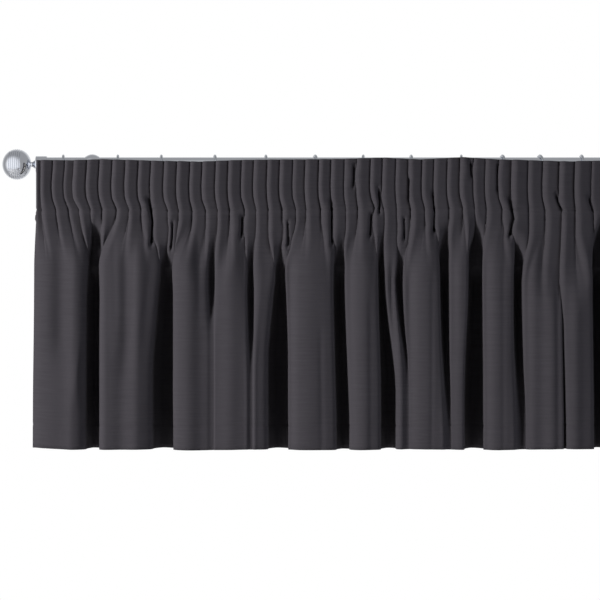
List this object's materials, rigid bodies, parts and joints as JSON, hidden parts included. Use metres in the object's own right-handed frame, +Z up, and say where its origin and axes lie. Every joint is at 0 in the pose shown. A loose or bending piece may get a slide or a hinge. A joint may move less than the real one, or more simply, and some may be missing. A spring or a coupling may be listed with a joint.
{
  "type": "curtain valance and pole",
  "caption": "Short curtain with a pencil-pleat heading, hung on metal rings from a thin polished pole with ribbed ball finials and wall brackets.",
  "frame": {"origin": "on the wall plane at the height of the pole's axis, midway between the two brackets", "axes": "+X along the pole to the right as seen from the room, +Y into the wall, +Z up"},
  "size_m": [0.971, 0.1168, 0.4177],
  "materials": {
    "charcoal_cloth": "matt plain weave",
    "white_webbing": "woven tape",
    "polished_steel": "polished",
    "steel_wire": "satin"
  },
  "bodies": {
    "root": {"valance_cloth": "charcoal_cloth", "heading_tape": "white_webbing", "pole": "polished_steel", "finial_left": "polished_steel", "finial_right": "polished_steel", "bracket_left": "polished_steel", "bracket_right": "polished_steel", "ring_01": "steel_wire", "ring_02": "steel_wire", "ring_03": "steel_wire", "ring_04": "steel_wire", "ring_05": "steel_wire", "ring_06": "steel_wire", "ring_07": "steel_wire", "ring_08": "steel_wire", "ring_09": "steel_wire", "ring_10": "steel_wire", "ring_11": "steel_wire", "ring_12": "steel_wire", "ring_13": "steel_wire", "hook_01": "steel_wire", "hook_02": "steel_wire", "hook_03": "steel_wire", "hook_04": "steel_wire", "hook_05": "steel_wire", "hook_06": "steel_wire", "hook_07": "steel_wire", "hook_08": "steel_wire", "hook_09": "steel_wire", "hook_10": "steel_wire", "hook_11": "steel_wire", "hook_12": "steel_wire", "hook_13": "steel_wire"}
  },
  "joints": []
}
